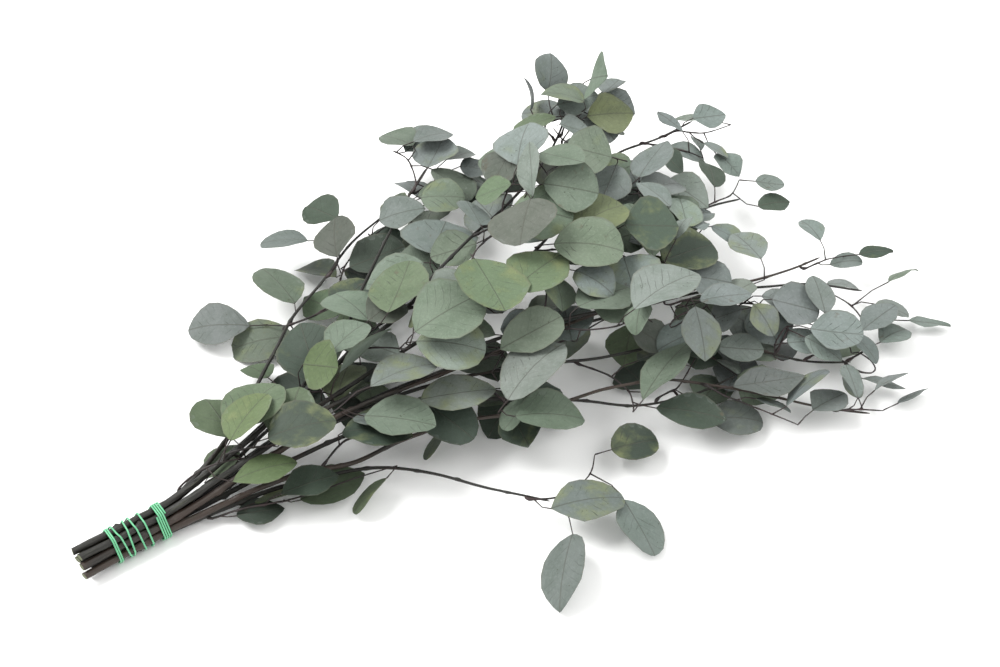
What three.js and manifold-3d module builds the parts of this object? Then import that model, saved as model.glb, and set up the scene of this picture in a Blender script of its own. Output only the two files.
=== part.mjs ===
// A lying bunch of dried round-leaved eucalyptus, tied with green elastic near its cut ends.
// Twelve woody stems run from the cut ends at low X to the leafy tips at high X. Each stem
// carries side sprigs: a thin twig with its leaf stalks and leaves grown together in one body.
// Lengths are in millimetres, angles in degrees, Z is up and Y is to the left of the stems.
// The plan below is laid out from the middle of the tie, on the floor; the finished bunch is
// moved at the end so that the origin is the middle of its bounding box, at the bottom.

import * as THREE from 'three';
import Module from 'manifold-3d';

const wasm = await Module();
wasm.setup();

// ---- sizes that drive the bunch -------------------------------------------------------------

const STEM_SIDES = 6;
const STEM_STEP = 42; // length of one straight run of a stem
const STEM_PITCH = 6.6; // distance between neighbouring stems inside the tie
const BUNDLE_FLOOR = 5.4; // height of the lowest row of stem centres inside the tie
const CUT_END = -46; // where the stems were cut, measured from the middle of the tie
const CUT_STAGGER = 5; // no two stems end quite level
const CUT_SPREAD = 0.06; // and past the tie they fan out
const TIE_REACH = 27; // the stems run side by side this far each way from the middle of the tie
const STEM_TIP_RADIUS = 0.85;
const STEM_TAPER = 0.45; // below 1, a stem thins quickly at first and slowly later

const TWIG_SIDES = 4;
const TWIG_BASE_RADIUS = 1.1;
const TWIG_TIP_RADIUS = 0.75;
const TWIG_STEP = 34; // length of one straight run of a twig
const ROOT_PLACES = 80; // places along a stem where a twig may start
const ROOT_BACK = { most: 34, liked: 22, least: -6, step: 4 }; // how far behind its first leaf
const ROOT_TURN = 20; // degrees between the sides of the stem that are tried
const CROWDED = 60; // cost of a root that is 1 mm short of room, in mm of detour
const STALK_LENGTH = 14; // from the twig to the foot of the blade
const STALK_RADIUS = 0.65;
const HEAP_FROM = 90; // the heap is deep between these two places along the stems
const HEAP_TO = 540;
const HEAP_FLOOR = 24; // the lowest leaves of the heap start about this high
const HEAP_HEIGHT = 30; // leaves whose feet are higher than this lie in the heap
const DEEP_HEAP = 56; // and below the feet of leaves this high there is room for more
const HEAP_RIM = 110; // distance to either side of the middle where the heap thins out
const FULLER = 1.13; // blades in the heap are this much wider than their flat measure, because they cup
const LONGER = 1.04; // and this much longer
const BLADE_THICKNESS = 0.9; // at the midrib; the blade thins to nothing at its edge

const WOOD_GAP = 1.0; // least clear space between two pieces of wood
const LEAF_GAP = 1.1; // least clear space round a leaf
const FLOOR_GAP = 0.3; // least height of anything above the floor
const ROOTED = 0.2; // this part of a twig's first run may lie close to its own stem
const TRIES = 500; // tries to find room for one leaf
const MOVED = { sideways: 14, up: 26, heading: 50, pitch: 40, roll: 45, smaller: 0.15 }; // by the last try
const FILLER = { beside: 14, across: 16, below: 20, turned: 70, long: [38, 54], wide: [34, 50], roll: 18 };
const SMALLEST_EDGE = 0.09; // shorter edges, where a stalk joins its twig, are closed up
const TOUCHING = 0.004; // corners this near each other count as one spot
const DRAWN_IN = 0.06; // and this is how far they are drawn apart
const STEM_ROUNDS = 40; // rounds of pushing the wood apart
const TWIG_ROUNDS = 120;

const BAND_RADIUS = 0.65; // the elastic is a round cord
const BAND_GAP = 0.6; // clear space between the elastic and the stems
const BAND_SIDES = 4;
const BAND_STEPS = 14; // straight runs in one turn

const BARK = new THREE.Color('#3a312c');
const LEAF_GREEN = new THREE.Color('#7f8f83');
const ELASTIC_GREEN = new THREE.Color('#35c98a');

// ---- the plan -------------------------------------------------------------------------------
// seat: place in the tie, [steps to the left, row above the floor]
// radius: of the stem inside the tie
// path: points the stem passes after the tie, [x, y, z]
// sprigs: one list of leaves for each side sprig, in order from the stem outwards; each leaf is
//   [x, y, z of the foot of the blade, heading, pitch, length, width, roll about its midrib]

const STEMS = [
  {
    seat: [1.5, 1], radius: 2.6,
    path: [[85, 30, 20], [140, 64, 27], [188, 100, 32], [228, 118, 35], [268, 138, 38], [310, 152, 38]],
    sprigs: [
      [[166, 128, 14, 145, -5, 50, 38, -10], [201, 115, 30, 90, -5, 52, 38, 15]],
      [[249, 127, 44, 60, 10, 38, 34, -30], [244, 165, 34, 145, -5, 38, 30, 20],
        [271, 162, 46, 110, -5, 32, 30, -5]],
      [[220, 90, 34, 25, -10, 42, 28, -5], [254, 117, 38, -5, 0, 48, 36, 5],
        [296, 140, 42, -20, 5, 38, 32, -5], [287, 145, 40, -70, -20, 32, 32, -15],
        [332, 149, 36, 125, -20, 28, 26, -5]],
    ],
  },
  {
    seat: [1, 2], radius: 2.8,
    path: [[155, 30, 38], [205, 50, 45], [227, 68, 48], [262, 95, 50], [297, 124, 48],
      [332, 152, 42], [370, 180, 35]],
    sprigs: [
      [[72, -15, 38, -10, 0, 48, 32, -15], [82, 3, 56, 25, 5, 46, 32, -20],
        [93, 19, 44, 25, 0, 56, 50, -10]],
      [[180, 3, 56, 15, 5, 52, 34, -70], [178, 15, 62, 5, 5, 40, 37, -5]],
      [[231, 21, 84, 40, 0, 54, 42, -20], [289, 61, 70, 165, -15, 48, 42, 15],
        [301, 69, 66, 40, -5, 40, 52, 0]],
      [[336, 137, 58, -25, 0, 36, 40, 0], [338, 149, 36, -30, -15, 38, 34, -15],
        [347, 161, 42, 100, -10, 39, 34, 5]],
      [[366, 166, 46, -75, -15, 42, 36, -25], [362, 166, 50, 35, 5, 34, 38, -20],
        [367, 196, 50, 110, -10, 34, 34, 15], [361, 204, 50, 0, 0, 40, 36, -10],
        [362, 196, 52, -20, -5, 36, 30, -20]],
      [[390, 149, 30, -5, -35, 20, 22, 5], [389, 160, 36, -25, -15, 26, 26, -5],
        [386, 175, 40, 0, -10, 26, 26, -15]],
    ],
  },
  {
    seat: [0.5, 3], radius: 3.0,
    path: [[178, 20, 55], [245, 27, 68], [304, 47, 78], [350, 58, 84], [382, 67, 86],
      [427, 91, 82], [474, 128, 74]],
    sprigs: [
      [[104, -10, 54, -15, 0, 50, 40, -5], [188, -22, 74, 10, -5, 58, 42, -15]],
      [[220, 32, 62, -15, -15, 34, 34, -15], [233, -13, 92, 0, 5, 60, 52, 0],
        [239, 0, 76, 65, -5, 35, 26, -70]],
      [[315, -24, 96, 15, 0, 52, 42, -10], [306, 19, 96, -105, -5, 62, 50, -20],
        [336, 39, 90, 80, -5, 34, 28, 40], [371, 55, 100, 160, -35, 32, 38, 20]],
      [[369, 31, 118, -135, 0, 48, 50, 25], [373, 37, 112, 50, 20, 45, 28, -60],
        [390, 77, 104, 40, 15, 40, 44, -25], [397, 97, 104, -160, -35, 32, 34, 20]],
      [[386, 2, 104, 10, -5, 52, 44, -5], [383, 38, 116, -35, -10, 45, 40, 5],
        [402, 23, 98, 170, -20, 28, 36, 20], [404, 64, 118, -65, 5, 38, 34, -10]],
      [[466, 54, 92, 140, 15, 36, 38, -10], [451, 105, 98, -30, -25, 28, 30, -10],
        [484, 108, 92, -35, -10, 40, 38, 15]],
      [[460, 122, 88, 160, -10, 36, 30, 20], [451, 146, 90, 40, 25, 30, 26, 80],
        [471, 149, 92, 50, 30, 32, 32, 40]],
      [[479, 114, 84, 115, -10, 38, 32, 20], [474, 126, 82, 5, -20, 28, 24, -15],
        [501, 133, 96, -85, 40, 30, 38, 45], [509, 122, 90, 20, -5, 24, 22, -25]],
    ],
  },
  {
    seat: [0, 2], radius: 2.8,
    path: [[187, 9, 42], [310, 15, 55], [407, 43, 58], [497, 90, 50], [537, 91, 45],
      [572, 93, 40], [587, 96, 38]],
    sprigs: [
      [[433, -43, 78, 75, 15, 50, 36, 30], [423, -18, 98, -30, -10, 42, 46, 5]],
      [[464, 14, 80, 110, -20, 26, 24, 20], [467, 17, 78, 5, -15, 41, 32, -5],
        [471, 30, 76, 30, -5, 49, 34, -20], [486, 52, 74, 140, -30, 32, 34, -5]],
      [[474, -12, 84, 100, 5, 34, 26, 25], [484, -23, 72, 75, -5, 30, 30, 30],
        [504, 31, 62, -65, -15, 40, 36, -5], [525, 68, 56, -65, -25, 28, 26, -15]],
      [[544, 77, 46, -45, -15, 32, 20, -5], [561, 75, 44, 95, -15, 35, 14, 15],
        [567, 61, 40, 65, -15, 24, 12, 40]],
      [[570, 61, 48, -55, -25, 24, 18, -20], [578, 51, 40, -80, -15, 28, 24, -10],
        [598, 76, 44, 120, -20, 40, 14, 20], [580, 88, 48, -20, -5, 30, 26, 10]],
    ],
  },
  {
    seat: [-0.5, 3], radius: 2.8,
    path: [[180, -6, 50], [280, -29, 62], [341, -47, 68], [404, -64, 70], [440, -47, 66],
      [497, -6, 50], [539, 7, 35], [567, 6, 28]],
    sprigs: [
      [[341, -49, 74, 65, 10, 34, 32, 35], [355, -43, 98, 30, 0, 24, 16, -40],
        [362, -7, 98, -45, -5, 53, 42, 0]],
      [[441, -45, 70, 0, -10, 48, 42, 0], [448, -46, 80, 15, -5, 26, 24, -20],
        [482, -23, 66, 0, -20, 20, 16, -15], [510, -23, 52, -60, -15, 30, 22, -15]],
      [[544, 14, 48, 60, -10, 37, 22, 30], [575, -8, 26, -15, -10, 30, 20, 5],
        [585, 9, 36, -35, -10, 24, 18, 0]],
    ],
  },
  {
    seat: [-1, 2], radius: 3.0,
    path: [[157, -10, 40], [228, -25, 50], [304, -41, 58], [374, -54, 62], [448, -72, 58],
      [490, -83, 50], [532, -87, 40], [576, -84, 28]],
    sprigs: [
      [[284, -45, 78, 15, -5, 56, 34, -15], [285, -32, 56, 125, -20, 39, 28, 65],
        [293, -30, 66, 140, -10, 48, 36, 15]],
      [[349, -61, 90, -5, -5, 48, 38, -5], [384, -82, 84, -155, -30, 28, 24, 50],
        [372, -96, 104, 5, -5, 64, 44, -15]],
      [[440, -85, 60, -175, -20, 32, 26, 25], [430, -99, 74, -115, -25, 42, 30, -20],
        [448, -84, 58, -10, -10, 42, 28, -20], [464, -91, 62, 5, -5, 32, 26, -25],
        [515, -73, 44, 80, -10, 38, 30, 10]],
      [[580, -92, 26, -20, -10, 30, 18, 0], [577, -80, 44, 85, 0, 26, 20, 15],
        [606, -97, 24, -20, -10, 32, 16, -5]],
    ],
  },
  {
    seat: [-0.5, 1], radius: 2.8,
    path: [[168, -6, 34], [241, -19, 44], [345, -43, 50], [408, -61, 52], [459, -72, 48],
      [506, -90, 41], [545, -106, 34], [568, -123, 28], [582, -128, 24]],
    sprigs: [
      [[334, -42, 54, -30, -20, 54, 34, -15], [395, -67, 54, -45, -20, 34, 30, -15]],
      [[472, -106, 50, 145, -25, 26, 30, 0], [497, -113, 52, -40, -15, 38, 34, 10],
        [527, -142, 42, 65, 10, 34, 24, 20]],
      [[563, -108, 26, -30, -20, 30, 18, -20], [555, -159, 22, 5, 5, 38, 26, -10],
        [562, -173, 16, 0, -5, 30, 26, -10], [583, -143, 26, -40, -20, 32, 20, -5],
        [600, -164, 14, -40, -5, 36, 14, -10], [606, -133, 24, 5, -15, 38, 14, -35]],
    ],
  },
  {
    seat: [0.5, 1], radius: 2.7,
    path: [[159, -5, 28], [239, -21, 36], [290, -41, 38], [338, -62, 36], [371, -78, 36],
      [412, -89, 34], [441, -96, 32], [461, -121, 30], [493, -156, 24], [528, -176, 18]],
    sprigs: [
      [[176, -15, 58, -10, -5, 49, 34, -15], [218, -41, 52, -20, -5, 56, 34, -5]],
      [[280, -64, 30, 115, -25, 30, 28, 20], [284, -75, 38, -5, -15, 34, 32, -10],
        [288, -80, 44, -180, -30, 34, 26, 30], [265, -88, 66, 20, 5, 66, 42, -15]],
      [[384, -91, 34, 0, -20, 28, 22, -20], [356, -132, 46, 20, 5, 66, 30, -25]],
      [[449, -103, 36, -50, -20, 32, 26, -10], [458, -127, 30, -15, -10, 36, 28, -10],
        [489, -115, 36, -65, -15, 32, 26, -10], [494, -104, 40, -55, -15, 36, 26, -10]],
      [[487, -142, 30, -25, -15, 32, 28, 0], [504, -147, 32, -60, -20, 34, 26, 0],
        [509, -144, 44, -55, -10, 42, 38, 10]],
      [[515, -171, 26, -40, -20, 38, 26, -5], [524, -194, 18, -40, -15, 36, 16, -25],
        [538, -164, 32, -80, -25, 28, 20, -20]],
    ],
  },
  {
    seat: [0, 0], radius: 2.6,
    path: [[167, -21, 28], [257, -49, 32], [322, -91, 29], [355, -117, 26], [386, -133, 25],
      [443, -138, 22]],
    sprigs: [
      [[402, -127, 26, -40, -20, 28, 16, -20], [404, -155, 14, -35, -5, 42, 34, 0],
        [442, -119, 18, -45, -25, 22, 20, -20], [443, -113, 26, -50, -15, 38, 28, -10]],
    ],
  },
  {
    seat: [-1.5, 1], radius: 2.8,
    path: [[121, -26, 20], [174, -50, 26], [205, -49, 29], [246, -65, 33], [286, -86, 37],
      [338, -103, 40], [368, -110, 40], [408, -137, 34], [438, -158, 28], [466, -188, 20],
      [496, -209, 16], [509, -220, 12]],
    sprigs: [
      [[163, -26, 46, -50, 0, 54, 46, 0], [242, -48, 30, -175, -25, 39, 24, 45]],
      [[426, -154, 36, -20, -5, 57, 30, -10], [438, -164, 22, -30, -15, 31, 20, -25],
        [448, -186, 30, 15, 5, 50, 28, -35], [468, -200, 16, 5, -5, 38, 30, -15]],
      [[492, -201, 24, 65, 15, 32, 28, 20], [508, -207, 18, 70, 5, 24, 18, 25],
        [518, -212, 20, 10, -10, 39, 16, -40], [535, -224, 10, 0, -5, 32, 14, -40]],
    ],
  },
  {
    seat: [-1, 0], radius: 2.6,
    path: [[119, -27, 12], [153, -43, 14], [176, -54, 16], [199, -81, 20], [216, -102, 22],
      [238, -137, 22], [255, -154, 22]],
    sprigs: [
      [[66, -24, 7, -20, -5, 36, 30, -15], [82, -22, 8, -10, 0, 41, 24, -30],
        [98, -36, 20, -10, -5, 46, 34, -10], [112, -38, 10, 0, 0, 54, 40, -5],
        [171, -65, 18, -170, -15, 36, 22, 40]],
      [[251, -161, 24, -20, -5, 56, 40, -5], [253, -185, 18, -135, -10, 62, 40, 40],
        [323, -139, 18, -15, -5, 38, 33, 5], [303, -181, 18, -100, -10, 50, 38, -25]],
    ],
  },
  {
    seat: [1, 0], radius: 2.5,
    path: [[137, 32, 13], [182, 47, 15], [228, 63, 17], [271, 71, 18], [312, 75, 18]],
    sprigs: [
      [[63, 14, 14, 20, 10, 36, 30, -15], [167, 23, 34, 95, 5, 53, 46, 10],
        [196, 39, 30, 85, 0, 49, 40, 25]],
      [[148, 68, 20, 100, -15, 28, 26, 15], [190, 82, 18, 100, -10, 26, 24, 25],
        [216, 61, 40, 20, 0, 34, 32, -20]],
    ],
  },
];

// ---- small helpers --------------------------------------------------------------------------

const UP = new THREE.Vector3(0, 0, 1);
const radians = THREE.MathUtils.degToRad;

// repeatable random numbers from -1 to 1
function dice(seed) {
  let state = seed;
  return () => {
    state = (state + 0x6d2b79f5) | 0;
    let mixed = Math.imul(state ^ (state >>> 15), 1 | state);
    mixed = (mixed + Math.imul(mixed ^ (mixed >>> 7), 61 | mixed)) ^ mixed;
    return ((mixed ^ (mixed >>> 14)) >>> 0) / 2147483648 - 1;
  };
}

function smoothRun(points, step) {
  const curve = new THREE.CatmullRomCurve3(points, false, 'centripetal');
  const runs = Math.max(2, Math.round(curve.getLength() / step));
  return curve.getSpacedPoints(runs);
}

// skin a row of rings, each a list of points, into one closed solid; a ring of one point is a tip
function skin(rings) {
  const corners = rings.flat().flatMap((point) => [point.x, point.y, point.z]);
  const triangles = [];
  let start = 0;
  for (let row = 0; row < rings.length - 1; row += 1) {
    const here = rings[row].length;
    const next = rings[row + 1].length;
    for (let side = 0; side < here; side += 1) {
      const a = start + side;
      const b = start + ((side + 1) % here);
      const c = start + here + (side % next);
      const d = start + here + ((side + 1) % next);
      triangles.push(a, b, c);
      if (next > 1) {
        triangles.push(b, d, c);
      }
    }
    start += here;
  }
  const first = rings[0].length;
  for (let side = 1; side < first - 1; side += 1) {
    triangles.push(0, side + 1, side);
  }
  const last = rings[rings.length - 1].length;
  for (let side = 1; side < last - 1; side += 1) {
    triangles.push(start, start + side, start + side + 1);
  }
  return new wasm.Manifold(new wasm.Mesh({
    numProp: 3,
    vertProperties: new Float32Array(corners),
    triVerts: new Uint32Array(triangles),
  }));
}

// rings of a round rod along a row of points
function rodRings(points, radii, sides) {
  let across = new THREE.Vector3(0, 1, 0);
  return points.map((point, index) => {
    const before = points[Math.max(index - 1, 0)];
    const after = points[Math.min(index + 1, points.length - 1)];
    const along = after.clone().sub(before).normalize();
    across = across.clone().addScaledVector(along, -across.dot(along)).normalize();
    const other = along.clone().cross(across);
    const ring = [];
    for (let side = 0; side < sides; side += 1) {
      const turn = (2 * Math.PI * side) / sides;
      ring.push(point.clone()
        .addScaledVector(across, radii[index] * Math.cos(turn))
        .addScaledVector(other, radii[index] * Math.sin(turn)));
    }
    return ring;
  });
}

function boxOf(solid) {
  const { min, max } = solid.boundingBox();
  return new THREE.Box3(new THREE.Vector3(...min), new THREE.Vector3(...max));
}

// ---- wood: stems and twigs are rods that push each other apart until they are clear ----------

// nearest points of two straight runs
function nearest(a0, a1, b0, b1) {
  const u = a1.clone().sub(a0);
  const v = b1.clone().sub(b0);
  const w = a0.clone().sub(b0);
  const uu = u.dot(u);
  const uv = u.dot(v);
  const vv = v.dot(v);
  const uw = u.dot(w);
  const vw = v.dot(w);
  const spread = uu * vv - uv * uv;
  let s = spread > 1e-6 ? THREE.MathUtils.clamp((uv * vw - vv * uw) / spread, 0, 1) : 0;
  let t = (uv * s + vw) / vv;
  if (t < 0 || t > 1) {
    t = THREE.MathUtils.clamp(t, 0, 1);
    s = THREE.MathUtils.clamp((uv * t - uw) / uu, 0, 1);
  }
  const onA = a0.clone().addScaledVector(u, s);
  const onB = b0.clone().addScaledVector(v, t);
  return { onA, onB, s, t };
}

function shift(rod, index, share, push) {
  if (index >= rod.held) {
    rod.points[index].addScaledVector(push, share);
  }
}

function pushApart(rodA, rodB) {
  for (let i = 0; i < rodA.points.length - 1; i += 1) {
    for (let j = 0; j < rodB.points.length - 1; j += 1) {
      // the root of a twig is beside its own stem, so only the rest of its first run is moved
      const rooted = rodB.parent === rodA && j === 0;
      const start = rooted ? rodB.points[0].clone().lerp(rodB.points[1], ROOTED) : rodB.points[j];
      const { onA, onB, s, t } = nearest(
        rodA.points[i], rodA.points[i + 1], start, rodB.points[j + 1]);
      const wanted = Math.max(rodA.radii[i], rodA.radii[i + 1])
        + Math.max(rodB.radii[j], rodB.radii[j + 1]) + WOOD_GAP;
      const apart = onB.sub(onA);
      const distance = apart.length();
      if (distance < wanted) {
        const push = distance > 1e-3 ? apart.divideScalar(distance) : UP.clone();
        push.z += 0.15;
        const give = rodA.loose && rodB.loose ? 0.5 : 1;
        const size = (wanted - distance) * give * 1.1;
        if (rodA.loose) {
          shift(rodA, i, -size * (1 - s), push);
          shift(rodA, i + 1, -size * s, push);
        }
        if (rodB.loose) {
          shift(rodB, j, size * (1 - t), push);
          shift(rodB, j + 1, size * t, push);
        }
      }
    }
  }
}

function keepOffFloor(rod) {
  rod.points.forEach((point, index) => {
    point.z = Math.max(point.z, rod.radii[index] + FLOOR_GAP);
  });
}

function near(rodA, rodB) {
  const reach = new THREE.Box3().setFromPoints(rodA.points).expandByScalar(6);
  return reach.intersectsBox(new THREE.Box3().setFromPoints(rodB.points));
}

function settleWood(rods, rounds) {
  for (let round = 0; round < rounds; round += 1) {
    for (let a = 0; a < rods.length; a += 1) {
      for (let b = a + 1; b < rods.length; b += 1) {
        if ((rods[a].loose || rods[b].loose) && near(rods[a], rods[b])) {
          pushApart(rods[a], rods[b]);
        }
      }
    }
    rods.filter((rod) => rod.loose).forEach(keepOffFloor);
  }
}

function layStem(stem) {
  const [left, row] = stem.seat;
  const seatY = left * STEM_PITCH;
  const seatZ = BUNDLE_FLOOR + row * STEM_PITCH * Math.sqrt(0.75);
  const cutZ = Math.max(stem.radius + FLOOR_GAP, seatZ + (row - 1.5) * CUT_SPREAD * STEM_PITCH);
  const tied = [
    new THREE.Vector3(
      CUT_END + CUT_STAGGER * Math.cos(5 * seatY + 2 * row), seatY * (1 + 1.4 * CUT_SPREAD), cutZ),
    new THREE.Vector3(-TIE_REACH, seatY, seatZ),
    new THREE.Vector3(0, seatY, seatZ),
    new THREE.Vector3(TIE_REACH, seatY, seatZ),
  ];
  const path = stem.path.map((point) => new THREE.Vector3(...point));
  const free = smoothRun([tied[2], tied[3], ...path], STEM_STEP);
  const points = [...tied, ...free.filter((point) => point.x > TIE_REACH + STEM_STEP / 2)];
  const last = points.length - 1;
  const radii = points.map((point, index) => {
    const along = Math.max(0, (index - 3) / (last - 3));
    return THREE.MathUtils.lerp(stem.radius, STEM_TIP_RADIUS, along ** STEM_TAPER);
  });
  return { points, radii, held: 4, loose: true };
}

// leaf rows of the plan as named sizes
function readLeaf([x, y, z, heading, pitch, length, width, roll]) {
  const heaped = z > HEAP_HEIGHT;
  return {
    foot: new THREE.Vector3(x, y, z),
    heading,
    pitch,
    length: heaped ? length * LONGER : length,
    width: heaped ? width * FULLER : width,
    roll,
  };
}

function aim(leaf) {
  const flat = Math.cos(radians(leaf.pitch));
  return new THREE.Vector3(
    Math.cos(radians(leaf.heading)) * flat,
    Math.sin(radians(leaf.heading)) * flat,
    Math.sin(radians(leaf.pitch)));
}

// the best spot for the root of a twig: beside its own stem, clear of the other wood, and on
// the side the leaves are wanted
function findRoot(stemRod, otherWood, wish, reached, places, spacing) {
  const stemRadius = (at) => THREE.MathUtils.lerp(
    stemRod.radii[3], STEM_TIP_RADIUS, Math.max(0, at / ROOT_PLACES - 0.06) ** STEM_TAPER);
  let best = null;
  for (let back = ROOT_BACK.most; back >= ROOT_BACK.least; back -= ROOT_BACK.step) {
    const at = THREE.MathUtils.clamp(reached - Math.round(back / spacing), 3, ROOT_PLACES - 3);
    const way = places[at + 1].clone().sub(places[at - 1]).normalize();
    const level = UP.clone().cross(way).normalize();
    const over = way.clone().cross(level);
    for (let turn = 0; turn < 360; turn += ROOT_TURN) {
      const out = level.clone().multiplyScalar(Math.cos(radians(turn)))
        .addScaledVector(over, Math.sin(radians(turn)));
      const root = places[at].clone()
        .addScaledVector(out, stemRadius(at) + TWIG_BASE_RADIUS + WOOD_GAP);
      const crowd = Math.min(...otherWood.map((other) => roomBeside(root, other)));
      const missing = Math.max(0, TWIG_BASE_RADIUS + WOOD_GAP + 0.4 - crowd);
      const cost = root.distanceTo(wish) + CROWDED * missing + Math.abs(back - ROOT_BACK.liked) * 0.4
        + Math.max(0, 4 - root.z) * 30;
      if (!best || cost < best.cost) {
        best = { root, cost };
      }
    }
  }
  return best.root;
}

// clear space between a point and the surface of a rod
function roomBeside(point, rod) {
  let room = Infinity;
  for (let i = 0; i < rod.points.length - 1; i += 1) {
    const run = new THREE.Line3(rod.points[i], rod.points[i + 1]);
    const spot = run.closestPointToPoint(point, true, new THREE.Vector3());
    room = Math.min(room, spot.distanceTo(point) - Math.max(rod.radii[i], rod.radii[i + 1]));
  }
  return room;
}

// a twig starts beside its stem and zigzags past the places where its leaves are wanted
function layTwig(stemRod, otherWood, leaves) {
  const wishes = leaves.map((leaf) => leaf.foot.clone().addScaledVector(aim(leaf), -STALK_LENGTH));
  const stemRun = new THREE.CatmullRomCurve3(stemRod.points.slice(3), false, 'catmullrom', 0);
  const places = stemRun.getSpacedPoints(ROOT_PLACES);
  const spacing = stemRun.getLength() / ROOT_PLACES;
  const nearestPlaces = wishes.map((wish) => {
    const gaps = places.map((place) => place.distanceTo(wish));
    return gaps.indexOf(Math.min(...gaps));
  });
  const reached = Math.min(...nearestPlaces);
  const firstWish = wishes[nearestPlaces.indexOf(reached)];
  const root = findRoot(stemRod, otherWood, firstWish, reached, places, spacing);
  const far = wishes.reduce((a, b) => (a.distanceTo(root) > b.distanceTo(root) ? a : b));
  const reach = far.clone().sub(root);
  const length = Math.max(reach.length(), 6);
  reach.divideScalar(length);
  const knots = wishes.map((wish, index) => {
    const along = THREE.MathUtils.clamp(wish.clone().sub(root).dot(reach), 5, length);
    const onLine = root.clone().addScaledVector(reach, along);
    return { index, along, place: onLine.lerp(wish, wish === far ? 1 : 0.5) };
  });
  knots.sort((a, b) => a.along - b.along);
  const points = [root];
  knots.forEach((knot) => {
    const from = points[points.length - 1];
    const span = from.distanceTo(knot.place);
    if (span > 4 || points.length === 1) {
      const runs = Math.max(1, Math.round(span / TWIG_STEP));
      for (let run = 1; run <= runs; run += 1) {
        points.push(from.clone().lerp(knot.place, run / runs));
      }
    }
    leaves[knot.index].knot = points.length - 1;
  });
  const last = points.length - 1;
  const radii = points.map((point, index) => THREE.MathUtils.lerp(
    TWIG_BASE_RADIUS, TWIG_TIP_RADIUS, index / last));
  return { points, radii, held: 1, loose: true, parent: stemRod, leaves };
}

// ---- leaves ---------------------------------------------------------------------------------

// the leaves hidden inside the heap: up to four below a sprig where the heap is deep, two below
// the other inner sprigs, one below those near its rim
function fillHeap(leaves, random) {
  const inner = leaves.filter(({ foot }) => foot.x > HEAP_FROM && foot.x < HEAP_TO && foot.z > HEAP_FLOOR);
  const deep = inner.some(({ foot }) => foot.z > DEEP_HEAP);
  const inside = inner.some(({ foot }) => Math.abs(foot.y) < HEAP_RIM);
  const wanted = Math.min(inner.length, deep ? 4 : inside ? 2 : 1);
  for (let number = 0; number < wanted; number += 1) {
    const above = inner[number];
    const sideways = number % 2 ? -FILLER.turned : FILLER.turned;
    const lowest = 10 - above.foot.z;
    leaves.push({
      foot: above.foot.clone().add(new THREE.Vector3(
        FILLER.beside * random(), FILLER.across * random(),
        Math.max(lowest, 6 * random() - FILLER.below))),
      heading: above.heading + sideways + 25 * random(),
      pitch: -8 + 10 * random(),
      length: THREE.MathUtils.clamp(above.length, ...FILLER.long),
      width: THREE.MathUtils.clamp(above.width, ...FILLER.wide),
      roll: FILLER.roll * random(),
    });
  }
}

// where the blade is measured along its length and how wide it is there, as parts of the whole;
// a full leaf is widest beyond its middle, and a slim leaf tapers more at both ends
function bladeOutline(leaf) {
  const slim = leaf.width < 0.6 * leaf.length ? 0.1 : 0;
  return [
    [0.19, 0.76 - 0.06 * leaf.full - slim],
    [0.5 + 0.05 * leaf.full, 1],
    [0.82, 0.76 + 0.07 * leaf.full - slim],
  ];
}

// rings of one leaf: two round the stalk, one at the foot of the blade, three across it, the tip
function leafRings(leaf, knot) {
  const along = aim(leaf);
  const level = UP.clone().cross(along).normalize();
  const lean = radians(leaf.roll);
  const across = level.clone().multiplyScalar(Math.cos(lean))
    .addScaledVector(along.clone().cross(level), Math.sin(lean));
  const face = along.clone().cross(across);
  const ring = (middle, half, thick, fold, side, normal) => [
    middle.clone().addScaledVector(side, half).addScaledVector(normal, fold),
    middle.clone().addScaledVector(normal, thick / 2),
    middle.clone().addScaledVector(side, -half).addScaledVector(normal, fold),
    middle.clone().addScaledVector(normal, -thick / 2),
  ];
  const stalk = leaf.foot.clone().sub(knot).normalize();
  let stalkNormal = stalk.clone().cross(across).normalize();
  if (stalkNormal.dot(face) < 0) {
    stalkNormal = stalkNormal.negate();
  }
  const stalkSide = stalkNormal.clone().cross(stalk);
  const middle = knot.clone().lerp(leaf.foot, 0.55)
    .lerp(leaf.foot.clone().addScaledVector(along, -0.45 * leaf.foot.distanceTo(knot)), 0.4);
  const blade = [ring(leaf.foot, STALK_RADIUS * 1.1, STALK_RADIUS * 2, 0, across, face)];
  bladeOutline(leaf).forEach(([part, wide]) => {
    const half = (wide * leaf.width) / 2;
    const spot = leaf.foot.clone().addScaledVector(along, part * leaf.length)
      .addScaledVector(face, leaf.bend * leaf.length * 4 * part * (1 - part));
    blade.push(ring(spot, half, BLADE_THICKNESS, half * leaf.fold, across, face));
  });
  blade.push([leaf.foot.clone().addScaledVector(along, leaf.length)]);
  const stem = [
    ring(knot, STALK_RADIUS, STALK_RADIUS * 2, 0, stalkSide, stalkNormal),
    ring(middle, STALK_RADIUS, STALK_RADIUS * 2, 0, stalkSide, stalkNormal),
  ];
  return { blade, whole: [...stem, ...blade] };
}

function hits(solid, box, others, gap) {
  const reach = box.clone().expandByScalar(gap);
  return others.some((other) => reach.intersectsBox(other.box)
    && solid.minGap(other.solid, gap) < gap);
}

// the inner end of a leaf stalk, a little inside its twig; leaves of one knot start in a row
function stalkRoot(twig, leaf) {
  const knot = twig.points[leaf.knot];
  const back = twig.points[leaf.knot - 1].clone().sub(knot).normalize();
  return knot.clone().addScaledVector(back, STALK_RADIUS * (1.6 + 0.37 * twig.leaves.indexOf(leaf)));
}

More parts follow.
